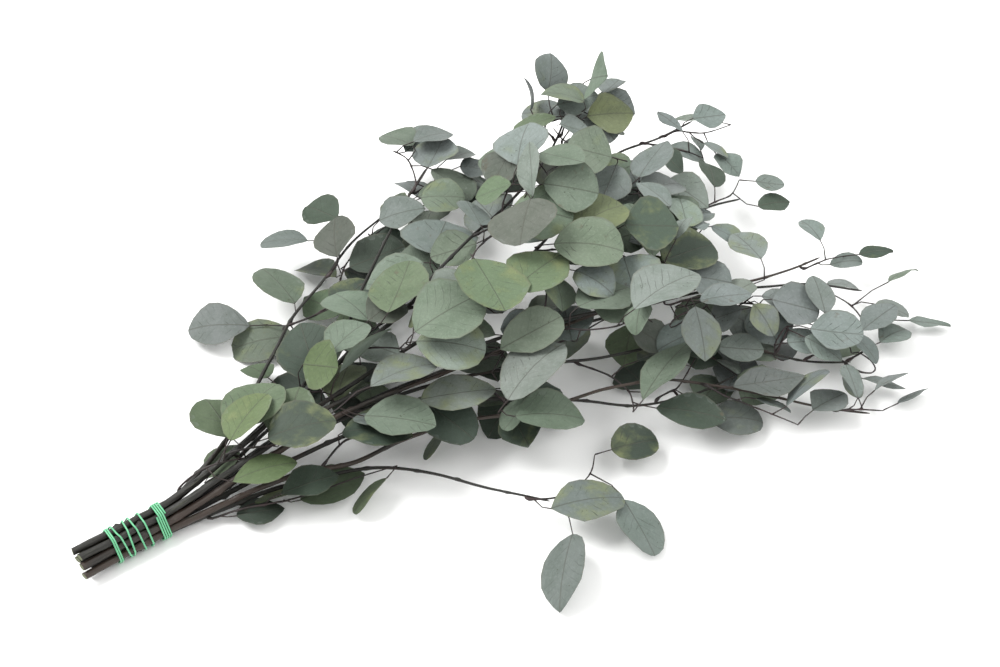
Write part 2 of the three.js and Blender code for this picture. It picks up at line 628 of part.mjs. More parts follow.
// try a leaf where the plan has it, then a little further away each time, until it is clear
function settleLeaf(leaf, twig, placed, roll) {
  const knot = stalkRoot(twig, leaf);
  const ownTwig = { solid: twig.solid, box: twig.box };
  const strangers = placed.filter((piece) => piece.sprig !== twig.sprig);
  const sisters = placed.filter((piece) => piece.sprig === twig.sprig && piece.blade);
  for (let attempt = 0; attempt < TRIES; attempt += 1) {
    const reach = attempt / TRIES;
    const trial = { ...leaf, foot: leaf.foot.clone() };
    if (attempt > 0) {
      trial.foot.x += roll() * reach * MOVED.sideways;
      trial.foot.y += roll() * reach * MOVED.sideways;
      trial.foot.z += (roll() + 0.2) * reach * MOVED.up;
      trial.heading += roll() * reach * MOVED.heading;
      trial.pitch += roll() * reach * MOVED.pitch;
      trial.roll += roll() * reach * MOVED.roll;
      trial.length *= 1 - MOVED.smaller * reach;
      trial.width *= 1 - MOVED.smaller * reach;
    }
    const low = Math.min(...leafRings(trial, knot).blade.flat().map((point) => point.z));
    trial.foot.z += Math.max(0, FLOOR_GAP - low);
    const { blade, whole } = leafRings(trial, knot);
    const bladeSolid = skin(blade);
    const bladeBox = boxOf(bladeSolid);
    if (hits(bladeSolid, bladeBox, [ownTwig], 0.6) || hits(bladeSolid, bladeBox, sisters, LEAF_GAP)) {
      continue;
    }
    const solid = skin(whole);
    const box = boxOf(solid);
    if (hits(solid, box, strangers, LEAF_GAP)
      || hits(solid, box, sisters.map((sister) => sister.blade), LEAF_GAP)) {
      continue;
    }
    return { solid, box, sprig: twig.sprig, blade: { solid: bladeSolid, box: bladeBox } };
  }
  return null;
}

// ---- elastic --------------------------------------------------------------------------------

// where a cord drawn tight round the tied stems lies when it leaves them in direction `turn`
function drawnTight(stemRods, turn) {
  const out = new THREE.Vector3(0, Math.cos(turn), Math.sin(turn));
  const hold = (rod) => rod.points[2].dot(out) + rod.radii[2];
  const outermost = stemRods.reduce((a, b) => (hold(a) > hold(b) ? a : b));
  const reach = outermost.radii[2] + BAND_GAP + BAND_RADIUS;
  return outermost.points[2].clone().addScaledVector(out, reach);
}

// turns: where along the stems each half turn of the elastic passes
function windBand(stemRods, halfTurns, startTurn) {
  const steps = ((halfTurns.length - 1) * BAND_STEPS) / 2;
  const points = [];
  for (let step = 0; step <= steps; step += 1) {
    const turn = startTurn + (2 * Math.PI * step) / BAND_STEPS;
    const place = (2 * step) / BAND_STEPS;
    const half = Math.min(Math.floor(place), halfTurns.length - 2);
    const point = drawnTight(stemRods, turn);
    point.x = THREE.MathUtils.lerp(halfTurns[half], halfTurns[half + 1], place - half);
    points.push(point);
  }
  return skin(rodRings(points, points.map(() => BAND_RADIUS), BAND_SIDES));
}

const BANDS = [
  { halfTurns: [-23.6, -22.8, -22, -21.2, -20.4, -14, -9, -11.5, -6, -2.5, 2.5, 3.6, 4.6], from: 0.4 },
  { halfTurns: [12.6, 13.6, 14.4, 15.3, 16.1, 17, 17.8, 18.7, 19.6], from: 2.2 },
];

// ---- build ----------------------------------------------------------------------------------

const random = dice(23);
const stemRods = STEMS.map(layStem);
settleWood(stemRods, STEM_ROUNDS);
stemRods.forEach((rod) => {
  rod.loose = false;
});

const twigs = [];
STEMS.forEach((stem, index) => {
  stem.sprigs.forEach((rows) => {
    const leaves = rows.map(readLeaf);
    fillHeap(leaves, random);
    leaves.forEach((leaf) => {
      leaf.fold = 0.12 + 0.1 * random();
      leaf.bend = 0.03 + 0.06 * random();
      leaf.full = random();
    });
    const others = [...stemRods, ...twigs].filter((rod) => rod !== stemRods[index]);
    const twig = layTwig(stemRods[index], others, leaves);
    twig.sprig = twigs.length;
    twigs.push(twig);
  });
});
settleWood([...stemRods, ...twigs], TWIG_ROUNDS);

const placed = [];
const solids = stemRods.map((rod) => skin(rodRings(rod.points, rod.radii, STEM_SIDES)));
solids.forEach((solid) => {
  placed.push({ solid, box: boxOf(solid), sprig: -1 });
});
twigs.forEach((twig) => {
  twig.solid = skin(rodRings(twig.points, twig.radii, TWIG_SIDES));
  twig.box = boxOf(twig.solid);
  placed.push({ solid: twig.solid, box: twig.box, sprig: twig.sprig });
});
const sprigSolids = twigs.map((twig) => {
  const grown = [twig.solid];
  twig.leaves.forEach((leaf) => {
    const settled = settleLeaf(leaf, twig, placed, random);
    if (settled) {
      placed.push(settled);
      grown.push(settled.solid);
    }
  });
  return wasm.Manifold.union(grown);
});

// corner lists of the triangles, after every edge that is too short to matter is closed up
function closedUp(corners, triangles) {
  let faces = [];
  for (let place = 0; place < triangles.length; place += 3) {
    faces.push([...triangles.slice(place, place + 3)]);
  }
  const spot = (corner) => new THREE.Vector3().fromArray(corners, corner * 3);
  for (;;) {
    const around = new Map();
    faces.forEach((face) => {
      face.forEach((corner) => {
        around.set(corner, new Set([...(around.get(corner) ?? []), ...face]));
      });
    });
    const isShort = ([a, b]) => {
      const shared = [...around.get(a)].filter((corner) => around.get(b).has(corner));
      return spot(a).distanceTo(spot(b)) < SMALLEST_EDGE && shared.length === 4;
    };
    const edge = faces.flatMap(([a, b, c]) => [[a, b], [b, c], [c, a]]).find(isShort);
    if (!edge) {
      return faces.flat();
    }
    faces = faces.map((face) => face.map((corner) => (corner === edge[1] ? edge[0] : corner)))
      .filter(([a, b, c]) => a !== b && b !== c && c !== a);
  }
}

// where a solid only touches itself, its corners share one spot; each is drawn a little inwards
function drawApart(corners, triangles) {
  const spots = new Map();
  const middles = new Float64Array(corners.length);
  const counts = new Uint16Array(corners.length / 3);
  new Set(triangles).forEach((corner) => {
    const spot = [0, 1, 2].map((axis) => Math.round(corners[corner * 3 + axis] / TOUCHING)).join(' ');
    spots.set(spot, [...(spots.get(spot) ?? []), corner]);
  });
  triangles.forEach((corner, place) => {
    const first = place - (place % 3);
    [0, 1, 2].forEach((side) => {
      counts[corner] += 1;
      [0, 1, 2].forEach((axis) => {
        middles[corner * 3 + axis] += corners[triangles[first + side] * 3 + axis];
      });
    });
  });
  const shared = [...spots.values()].filter((group) => group.length > 1).flat();
  shared.forEach((corner) => {
    const here = new THREE.Vector3().fromArray(corners, corner * 3);
    const inwards = new THREE.Vector3().fromArray(middles, corner * 3).divideScalar(counts[corner])
      .sub(here).setLength(DRAWN_IN);
    here.add(inwards).toArray(corners, corner * 3);
  });
}

function finish(solid, name, colour, roughness) {
  const mesh = solid.getMesh();
  const geometry = new THREE.BufferGeometry();
  const corners = new Float32Array((mesh.vertProperties.length / mesh.numProp) * 3);
  for (let corner = 0; corner < corners.length / 3; corner += 1) {
    corners.set(mesh.vertProperties.slice(corner * mesh.numProp, corner * mesh.numProp + 3), corner * 3);
  }
  const triangles = closedUp(corners, mesh.triVerts);
  drawApart(corners, triangles);
  geometry.setAttribute('position', new THREE.BufferAttribute(corners, 3));
  geometry.setIndex(new THREE.BufferAttribute(new Uint32Array(triangles), 1));
  geometry.computeVertexNormals();
  const material = new THREE.MeshStandardMaterial({ color: colour, roughness, metalness: 0 });
  material.name = name.replace(/_\d+$/, '');
  const part = new THREE.Mesh(geometry, material);
  part.name = name;
  return part;
}

const bunch = new THREE.Group();
bunch.name = 'dried_eucalyptus_bunch';
const twoDigits = (index) => String(index + 1).padStart(2, '0');
solids.forEach((solid, index) => {
  bunch.add(finish(solid, `stem_${twoDigits(index)}`, BARK, 0.75));
});
sprigSolids.forEach((solid, index) => {
  bunch.add(finish(solid, `sprig_${twoDigits(index)}`, LEAF_GREEN, 0.7));
});
BANDS.forEach((band, index) => {
  const solid = windBand(stemRods, band.halfTurns, band.from);
  bunch.add(finish(solid, `elastic_band_${twoDigits(index)}`, ELASTIC_GREEN, 0.5));
});

const bounds = new THREE.Box3().setFromObject(bunch);
const middle = bounds.getCenter(new THREE.Vector3());
bunch.children.forEach((part) => {
  part.geometry.translate(-middle.x, -middle.y, -bounds.min.z);
});

export default bunch;
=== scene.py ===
import math
import random

import bmesh
import bpy
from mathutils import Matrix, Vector, noise
from mathutils.geometry import intersect_point_line


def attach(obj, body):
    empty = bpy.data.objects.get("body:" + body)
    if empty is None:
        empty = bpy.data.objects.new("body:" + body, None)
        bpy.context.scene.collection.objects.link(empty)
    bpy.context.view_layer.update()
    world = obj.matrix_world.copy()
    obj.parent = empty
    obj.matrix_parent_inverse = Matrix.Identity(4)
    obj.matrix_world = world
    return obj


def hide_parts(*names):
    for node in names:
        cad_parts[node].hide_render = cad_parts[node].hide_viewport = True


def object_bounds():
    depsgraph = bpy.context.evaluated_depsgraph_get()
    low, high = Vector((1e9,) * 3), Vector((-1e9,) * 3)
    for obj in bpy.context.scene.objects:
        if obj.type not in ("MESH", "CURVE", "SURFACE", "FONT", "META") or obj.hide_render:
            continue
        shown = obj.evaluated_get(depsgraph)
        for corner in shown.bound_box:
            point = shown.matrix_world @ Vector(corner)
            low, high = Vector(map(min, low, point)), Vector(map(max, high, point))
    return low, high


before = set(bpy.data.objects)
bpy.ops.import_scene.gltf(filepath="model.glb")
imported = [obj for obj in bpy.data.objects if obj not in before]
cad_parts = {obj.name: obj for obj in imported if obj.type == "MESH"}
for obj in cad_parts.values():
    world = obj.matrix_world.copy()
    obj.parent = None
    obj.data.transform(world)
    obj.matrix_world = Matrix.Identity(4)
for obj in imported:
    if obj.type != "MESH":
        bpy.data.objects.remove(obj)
solid_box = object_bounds()

# ---- stems ----
# Twelve dried branches of eucalyptus wood, 5 to 6 mm thick where they are tied and about 2 mm at
# their tips. One round rod is made, and each stem is that rod laid along its own branch, with
# the low rings and buds of old leaf places. The thick ends were cut across with shears.

STEM_RINGS = 200
BUD_SPACING = 0.034
BUD_REACH = 0.0021  # how far along the rod a bud swells it
UNEVEN = 0.11  # how far the surface of a rod stands in or out, as a part of its radius
TIP_LENGTH = 0.004  # the tip of a rod closes in over this length
CUT_REACH = 0.0045  # corners this near a thick end slant with its cut
RED_STEMS = (5, 9)
SWAY_SEED = 5
BARK_DARK = (0.009, 0.0085, 0.006)
BARK_RED = (0.032, 0.02, 0.014)
BARK_GREY = (0.075, 0.078, 0.055)
CUT_WOOD = (0.16, 0.18, 0.1)


def keep_only(*pieces):
    """make these pieces the whole selection, the first one active"""
    bpy.ops.object.select_all(action="DESELECT")
    for piece in pieces:
        piece.select_set(True)
    bpy.context.view_layer.objects.active = pieces[0]


def round_rod(name, sides, rings):
    """a straight rod of radius 1 and length 1 along Z, with even rings and flat filled ends"""
    bpy.ops.object.select_all(action="DESELECT")
    bpy.ops.mesh.primitive_cylinder_add(
        vertices=sides, radius=1, depth=1, location=(0, 0, 0.5), end_fill_type="NGON"
    )
    rod = bpy.context.object
    rod.name = name
    bpy.ops.object.transform_apply(location=True, rotation=False, scale=False)
    bpy.ops.object.mode_set(mode="EDIT")
    bpy.ops.mesh.select_mode(type="EDGE")
    bpy.ops.mesh.select_all(action="DESELECT")
    shape = bmesh.from_edit_mesh(rod.data)
    for edge in shape.edges:
        edge.select_set(abs(edge.verts[0].co.z - edge.verts[1].co.z) > 0.5)
    bmesh.update_edit_mesh(rod.data)
    bpy.ops.mesh.subdivide_edgering(number_cuts=rings, interpolation="LINEAR")
    bpy.ops.object.mode_set(mode="OBJECT")
    return rod


def merged(node):
    """a copy of a solid's mesh with its loose triangles joined up"""
    shape = bmesh.new()
    shape.from_mesh(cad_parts[node].data)
    bmesh.ops.remove_doubles(shape, verts=shape.verts, dist=2e-6)
    shape.verts.index_update()
    return shape


def in_order(corners):
    """corners as a list that is the same on every run"""
    return sorted(corners, key=lambda corner: corner.index)


def gathered(places, reach):
    """places that lie within reach of each other, as groups"""
    groups = []
    for place in places:
        close = [g for g in groups if any((place - other).length < reach for other in g)]
        joined = [place]
        for group in close:
            joined += group
            groups.remove(group)
        groups.append(joined)
    return groups


def middle(places):
    return sum(places, Vector()) / len(places)


def stem_rings(node):
    """middle and radius of each ring of a stem's solid, from the cut end to the tip"""
    shape = merged(node)
    rings = [(middle(group), group) for group in gathered([v.co.copy() for v in shape.verts], 0.008)]
    shape.free()
    sized = [(spot, max((p - spot).length for p in group)) for spot, group in rings]
    run = [min(sized, key=lambda ring: ring[0].x)]
    left = [ring for ring in sized if ring is not run[0]]
    while left:
        following = min(left, key=lambda ring: (ring[0] - run[-1][0]).length)
        left.remove(following)
        run.append(following)
    return run


def eased(a, b, c, d, t):
    """smooth run from b to c that also heeds their neighbours"""
    return 0.5 * (2 * b + (c - a) * t + (2 * a - 5 * b + 4 * c - d) * t**2 + (3 * b - a - 3 * c + d) * t**3)


def smooth_course(run, step):
    """a finely spaced smooth course, as (spot, radius), through a run of rings"""
    course = []
    for i in range(len(run) - 1):
        four = [run[max(i - 1, 0)], run[i], run[i + 1], run[min(i + 2, len(run) - 1)]]
        count = max(2, round((four[2][0] - four[1][0]).length / step))
        for k in range(count):
            t = k / count
            spot = eased(*[ring[0] for ring in four], t)
            course.append((spot, four[1][1] + (four[2][1] - four[1][1]) * t))
    course.append(run[-1])
    return course


class Course:
    """a smooth line with a place and a pair of sideways directions at every distance along it"""

    def __init__(self, run, step=0.003):
        self.spots = smooth_course(run, step)
        self.marks = [0.0]
        for (a, _), (b, _) in zip(self.spots, self.spots[1:]):
            self.marks.append(self.marks[-1] + (b - a).length)
        self.length = self.marks[-1]
        self.frames = []
        side = Vector((0, 1, 0))
        for i in range(len(self.spots)):
            a = self.spots[max(i - 1, 0)][0]
            b = self.spots[min(i + 1, len(self.spots) - 1)][0]
            way = (b - a).normalized()
            side = (side - way * side.dot(way)).normalized()
            self.frames.append((side, way.cross(side), way))

    def at(self, distance):
        """spot, radius, side, over and way at a distance from the start"""
        distance = min(max(distance, 0.0), self.length)
        low, high = 0, len(self.marks) - 1
        while high - low > 1:
            half = (low + high) // 2
            if self.marks[half] <= distance:
                low = half
            else:
                high = half
        span = self.marks[high] - self.marks[low]
        t = (distance - self.marks[low]) / span if span > 0 else 0.0
        spot = self.spots[low][0].lerp(self.spots[high][0], t)
        radius = self.spots[low][1] * (1 - t) + self.spots[high][1] * t
        side = self.frames[low][0].lerp(self.frames[high][0], t).normalized()
        way = self.frames[low][2].lerp(self.frames[high][2], t).normalized()
        return spot, radius, side, way.cross(side), way

    def nearest(self, point):
        """distance along the line of the place nearest a point"""
        best = min(range(len(self.spots)), key=lambda i: (self.spots[i][0] - point).length_squared)
        found = self.marks[best]
        for i in (best - 1, best):
            if 0 <= i < len(self.spots) - 1:
                a, b = self.spots[i][0], self.spots[i + 1][0]
                on_line, t = intersect_point_line(point, a, b)
                if 0 < t < 1 and (on_line - point).length < (self.spots[best][0] - point).length:
                    found = self.marks[i] + t * (self.marks[i + 1] - self.marks[i])
        return found


def laid_rod(template, name, course, chance, buds, sway=0.0, taper=0.0):
    """a copy of the rod laid along a course; buds are (distance, turn, size) swellings"""
    mesh = template.data.copy()
    mesh.name = name
    grain = mesh.attributes.new("grain", "FLOAT_VECTOR", "POINT")
    shift = chance.uniform(0, 50)
    rows = {}
    for index, corner in enumerate(mesh.vertices):
        rows.setdefault(round(corner.co.z, 5), []).append(index)
    for part, corners in rows.items():
        distance = part * course.length
        spot, radius, side, over, _ = course.at(distance)
        wander = noise.noise_vector(Vector((distance * 22, shift, 0))) * sway
        spot = spot + side * wander.x + over * wander.y
        end = max(0.0, 1 - (1 - part) * course.length / TIP_LENGTH) if taper else 0.0
        radius *= 1 - end * taper
        for index in corners:
            flat = mesh.vertices[index].co
            turn = math.atan2(flat.y, flat.x)
            out = side * flat.x + over * flat.y
            lump = noise.noise(Vector((flat.x * 0.8, flat.y * 0.8, distance * 90 + shift)))
            size = radius * (1 + UNEVEN * lump)
            for place, bud_turn, bud in buds:
                near = math.exp(-(((distance - place) / BUD_REACH) ** 2))
                facing = max(0.0, math.cos(turn - bud_turn)) ** 3
                size += radius * near * (0.16 + 0.75 * bud * facing)
            grain.data[index].vector = (flat.x * 0.003, flat.y * 0.003, distance + shift)
            mesh.vertices[index].co = spot + out * size
    piece = bpy.data.objects.new(name, mesh)
    bpy.context.scene.collection.objects.link(piece)
    return piece


class Shade:
    """a shader socket that takes part in plain sums"""

    def __init__(self, tree, socket):
        self.tree = tree
        self.socket = socket

    def node(self, kind, settings=None, inputs=None):
        """any other node: its type, its settings, then the values or links of its sockets"""
        made = self.tree.nodes.new(kind)
        for key, value in (settings or {}).items():
            if key == "stops":
                ramp = made.color_ramp
                while len(ramp.elements) < len(value):
                    ramp.elements.new(0.5)
                for element, (place, colour) in zip(ramp.elements, value):
                    element.position = place
                    element.color = (*colour, 1) if isinstance(colour, tuple) else (colour,) * 3 + (1,)
            else:
                setattr(made, key, value)
        for key, value in (inputs or {}).items():
            if isinstance(value, Shade):
                self.tree.links.new(value.socket, made.inputs[key])
            else:
                made.inputs[key].default_value = value
        return made

    def of(self, kind, settings=None, inputs=None, output=0):
        return Shade(self.tree, self.node(kind, settings, inputs).outputs[output])

    def sum(self, operation, *terms):
        return self.of("ShaderNodeMath", {"operation": operation}, dict(enumerate(terms)))

    def __add__(self, other):
        return self.sum("ADD", self, other)

    def __radd__(self, other):
        return self.sum("ADD", other, self)

    def __sub__(self, other):
        return self.sum("SUBTRACT", self, other)

    def __rsub__(self, other):
        return self.sum("SUBTRACT", other, self)

    def __mul__(self, other):
        return self.sum("MULTIPLY", self, other)

    def __rmul__(self, other):
        return self.sum("MULTIPLY", other, self)

    def __truediv__(self, other):
        return self.sum("DIVIDE", self, other)

    def __pow__(self, other):
        return self.sum("POWER", self, other)

    def size(self):
        return self.sum("ABSOLUTE", self)

    def within(self, low, high):
        """0 below low, 1 above high, eased between; the limits may be the other way round"""
        if low > high:
            return 1 - self.within(high, low)
        ends = {0: self, 1: low, 2: high, 3: 0.0, 4: 1.0}
        return self.of("ShaderNodeMapRange", {"interpolation_type": "SMOOTHSTEP"}, ends)

    def mixed(self, under, over):
        """the colour under where this mask is 0 and over where it is 1"""
        colours = {6: under, 7: over, 0: self}
        for key in (6, 7):
            if isinstance(colours[key], tuple):
                colours[key] = (*colours[key], 1)
        return self.of("ShaderNodeMix", {"data_type": "RGBA"}, colours, 2)

    def scaled(self, factors):
        return self.of("ShaderNodeVectorMath", {"operation": "MULTIPLY"}, {0: self, 1: factors})

    def patches(self, scale, detail=2.0, rough=0.5, output=0):
        """soft noise over the place this socket gives"""
        inputs = {"Vector": self, "Scale": scale, "Detail": detail, "Roughness": rough}
        return self.of("ShaderNodeTexNoise", None, inputs, output)


def new_finish(name, **fixed):
    """an empty material, its shader and a first socket to build on"""
    material = bpy.data.materials.new(name)
    material.use_nodes = True
    shader = material.node_tree.nodes["Principled BSDF"]
    for key, value in fixed.items():
        shader.inputs[key.replace("_", " ")].default_value = value
    return material, shader


def read(material, attribute, output="Vector"):
    tree = material.node_tree
    made = tree.nodes.new("ShaderNodeAttribute")
    made.attribute_name = attribute
    return Shade(tree, made.outputs[output])


def relief(shader, height, strength, depth):
    bump = height.of("ShaderNodeBump", None, {"Height": height, "Strength": strength, "Distance": depth})
    height.tree.links.new(bump.socket, shader.inputs["Normal"])


def bark_finish(name, red):
    material, shader = new_finish(name, Specular_IOR_Level=0.45)
    place = read(material, "grain")
    streaks = place.scaled((900.0, 900.0, 60.0)).patches(1.0, 4.0, 0.6)
    peeling = place.scaled((260.0, 260.0, 34.0)).patches(1.0, 3.0, 0.65)
    long_change = place.scaled((20.0, 20.0, 14.0)).patches(1.0, 2.0)
    colour = (long_change + (red - 0.5)).within(0.42, 0.62).mixed(BARK_DARK, BARK_RED)
    colour = (streaks.within(0.5, 0.72) * 0.3).mixed(colour, BARK_GREY)
    colour = (peeling.within(0.6, 0.7) * 0.5).mixed(colour, BARK_GREY)
    place.tree.links.new(colour.socket, shader.inputs["Base Color"])
    rough = 0.34 + streaks * 0.25 + peeling.within(0.58, 0.7) * 0.25
    place.tree.links.new(rough.socket, shader.inputs["Roughness"])
    relief(shader, streaks + peeling.within(0.55, 0.7), 0.8, 0.0006)
    return material


def cut_finish():
    material, shader = new_finish("cut_wood", Roughness=0.85)
    place = Shade(material.node_tree, material.node_tree.nodes.new("ShaderNodeTexCoord").outputs["Object"])
    fibres = place.scaled((300.0, 1400.0, 1400.0)).patches(1.0, 3.0)
    colour = fibres.within(0.35, 0.7).mixed(CUT_WOOD, (0.07, 0.07, 0.045))
    place.tree.links.new(colour.socket, shader.inputs["Base Color"])
    relief(shader, fibres, 0.5, 0.0003)
    return material


noise.seed_set(SWAY_SEED)  # without a seed of its own, the sway of the rods differs on every run
stem_nodes = sorted(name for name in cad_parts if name.startswith("stem_"))
stem_bark = [bark_finish("dark_bark", 0.38), bark_finish("red_bark", 0.62)]
cut_wood = cut_finish()
stem_rod = round_rod("stem_rod", 10, STEM_RINGS)
stem_courses = {}
for number, node in enumerate(stem_nodes):
    chance = random.Random(node)
    course = Course(stem_rings(node))
    stem_courses[node] = course
    buds = []
    distance = 0.03 + chance.uniform(0, 0.02)
    turn = chance.uniform(0, 6)
    while distance < course.length - 0.01:
        buds.append((distance, turn, chance.uniform(0.2, 1.0)))
        distance += BUD_SPACING * chance.uniform(0.7, 1.4)
        turn += math.pi + chance.uniform(-0.5, 0.5)
    piece = laid_rod(stem_rod, f"branch_{number + 1:02d}", course, chance, buds, 0.001, 0.7)
    slant = chance.uniform(-0.5, 0.5)
    start = course.at(0)[0]
    mesh = piece.data
    mesh.materials.append(stem_bark[1] if number in RED_STEMS else stem_bark[0])
    mesh.materials.append(cut_wood)
    for corner in mesh.vertices:
        if (corner.co - start).length < CUT_REACH:
            corner.co.x += slant * (corner.co.y - start.y)
    for face in mesh.polygons:
        if face.normal.x < -0.6 and len(face.vertices) > 4:
            face.material_index = 1
    keep_only(piece)
    bpy.ops.object.shade_smooth_by_angle(angle=math.radians(55))
    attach(piece, "root")
    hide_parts(node)
bpy.data.objects.remove(stem_rod)

# ---- sprigs: twigs ----
# Each side sprig starts as a thin, dark, slightly zigzag twig that grows out of a stem and
# carries leaf stalks at its knots. One finer rod is laid along every twig, swollen at the root
# and at each knot.

TWIG_RINGS = 44
TWIG_DARK = (0.015, 0.012, 0.011)
TWIG_PURPLE = (0.036, 0.023, 0.023)
TWIG_ROOT_RADIUS = 0.0008
TWIG_TIP_RADIUS = 0.00045
SOLID_TWIG_WIDTH = 0.0022  # of the square root end of each twig's solid
BLADE_LEAST = 0.0045  # no ring of a blade's solid is narrower
STALK_MOST = 0.0035  # and no ring of a stalk's solid is wider
KNOT_REACH = 0.0034  # corners of a twig's solid this near each other make one knot
KNOT_SPACING = 0.007  # and knots nearer than this are drawn as one


def leaf_of(tip):
    """rings of corners of one leaf, from its tip to the middle of its stalk, or None"""
    rings = [[tip]]
    seen = {tip}
    while len(rings) < 6:
        following = {edge.other_vert(corner) for corner in rings[-1] for edge in corner.link_edges} - seen
        if len(following) != 4:
            return None
        seen |= following
        rings.append(in_order(following))
    spread = [max((a.co - b.co).length for a in ring for b in ring) for ring in rings]
    if min(spread[1:4]) < BLADE_LEAST or max(spread[4:]) > STALK_MOST:
        return None
    return rings


def read_sprig(node):
    """leaves of a sprig's solid, each as its rings from stalk to tip, and the rings of its twig"""
    shape = merged(node)
    leaves = []
    used = set()
    for corner in shape.verts:
        if len(corner.link_edges) == 4 and corner not in used:
            rings = leaf_of(corner)
            if rings:
                used.update(v for ring in rings for v in ring)
                leaves.append([[v.co.copy() for v in ring] for ring in reversed(rings)])
    wood = [v for v in shape.verts if v not in used]
    groups = gathered([v.co.copy() for v in wood], KNOT_REACH)
    knots = [(middle(group), group) for group in groups]
    shape.free()
    return leaves, knots


def twig_run(knots):
    """the knots of a twig in order, from its square root end outwards"""

    def squareness(knot):
        spot, group = knot
        widest = max((a - b).length for a in group for b in group)
        return abs(widest - SOLID_TWIG_WIDTH) + (0.0 if len(group) == 4 else 0.01)

    root = min(knots, key=squareness)
    run = [root]
    left = [knot for knot in knots if knot is not root]
    while left:
        following = min(left, key=lambda knot: (knot[0] - run[-1][0]).length)
        left.remove(following)
        run.append(following)
    spots = [run[0][0]]
    for spot, _ in run[1:]:
        if (spot - spots[-1]).length > KNOT_SPACING:
            spots.append(spot)
        elif len(spots) > 1:
            spots[-1] = (spots[-1] + spot) / 2
    if len(spots) < 2:
        return [run[0][0], run[-1][0]]
    inner = [(a + 2 * b + c) / 4 for a, b, c in zip(spots, spots[1:], spots[2:])]
    return [spots[0], *inner, spots[-1]]


def foot_on_stem(root):
    """the spot inside the nearest stem that a twig grows out of, and that stem's way there"""
    found = []
    for course in stem_courses.values():
        spot, radius, _, _, way = course.at(course.nearest(root))
        found.append(((spot - root).length - radius, spot, radius, way))
    return min(found, key=lambda entry: entry[0])[1:]


def twig_finish():
    material, shader = new_finish("twig_bark", Specular_IOR_Level=0.4)
    place = read(material, "grain")
    streaks = place.scaled((700.0, 700.0, 90.0)).patches(1.0, 3.0, 0.6)
    change = place.scaled((20.0, 20.0, 30.0)).patches(1.0, 2.0)
    colour = change.within(0.4, 0.65).mixed(TWIG_DARK, TWIG_PURPLE)
    colour = (streaks.within(0.56, 0.75) * 0.5).mixed(colour, (0.1, 0.085, 0.078))
    place.tree.links.new(colour.socket, shader.inputs["Base Color"])
    place.tree.links.new((0.45 + streaks * 0.25).socket, shader.inputs["Roughness"])
    relief(shader, streaks, 0.5, 0.0002)
    return material


sprig_nodes = sorted(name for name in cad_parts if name.startswith("sprig_"))
twig_bark = twig_finish()
twig_rod = round_rod("twig_rod", 6, TWIG_RINGS)
sprigs = {}
for number, node in enumerate(sprig_nodes):
    chance = random.Random(node)
    leaves, knots = read_sprig(node)
    run = twig_run(knots)
    stem_spot, _, stem_way = foot_on_stem(run[0])
    rings = [(stem_spot - stem_way * 0.004, TWIG_ROOT_RADIUS * 1.1)]
    for place, spot in enumerate(run):
        thinner = place / (len(run) - 1)
        rings.append((spot, TWIG_ROOT_RADIUS * (1 - thinner) + TWIG_TIP_RADIUS * thinner))
    course = Course(rings, 0.002)
    attached = []
    for leaf in leaves:
        stalk_middle = middle(leaf[0])
        away = (stalk_middle - middle(leaf[1])).normalized()
        attached.append(course.nearest(stalk_middle + away * 0.006))
    buds = [(0.003, 0.0, 1.1), (0.005, 2.1, 0.9), (0.005, 4.2, 0.9)]
    buds += [(place, chance.uniform(0, 6), 0.9) for place in attached]
    place = 0.016
    while place < course.length - 0.006:
        buds.append((place, chance.uniform(0, 6), chance.uniform(0.1, 0.8)))
        place += chance.uniform(0.012, 0.02)
    piece = laid_rod(twig_rod, f"twig_{number + 1:02d}", course, chance, buds, 0.0009, 0.35)
    piece.data.materials.append(twig_bark)
    keep_only(piece)
    bpy.ops.object.shade_smooth_by_angle(angle=math.radians(70))
    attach(piece, "root")
    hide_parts(node)
    sprigs[node] = (leaves, course, attached)
bpy.data.objects.remove(twig_rod)

# ---- sprigs: leaves ----
# Thin, dry, leathery leaves, 2 to 7 cm long, round to pointed oval, each on its own stalk. One
# leaf is made and every other is a copy of it, stretched, cupped and waved to its own outline.
# They are grey-green with a blue bloom, and some have turned olive, yellow, silver or brown.

STALK_WIDTH = 0.00085
LEAF_THICK = 0.0005
STALK_STEPS = 2
BLADE_STEPS = 10
TONES = {
    "blue": (0.15, 0.174, 0.162),
    "sage": (0.13, 0.164, 0.12),
    "light": (0.185, 0.218, 0.185),
    "silver": (0.195, 0.222, 0.198),
    "green": (0.094, 0.13, 0.074),
    "fresh": (0.098, 0.138, 0.06),
    "olive": (0.105, 0.128, 0.064),
    "brown": (0.086, 0.096, 0.078),
    "dark": (0.045, 0.064, 0.046),
}
TURNED_REACH = 0.007  # a leaf whose blade starts this near a place below takes its colour
TIPS_FROM = 0.72  # the outer tips of the bunch start this far along it
SMALL_LEAF = 0.024
TURNED = {  # leaves that have changed colour on their own, by where their blades start
    (0.076, -0.096, 0.104): "silver",
    (-0.031, -0.088, 0.066): "silver",
    (0.077, 0.037, 0.112): "silver",
    (0.188, 0.108, 0.092): "olive",
    (-0.063, -0.013, 0.092): "sage",
    (0.01, 0.019, 0.096): "green",
}


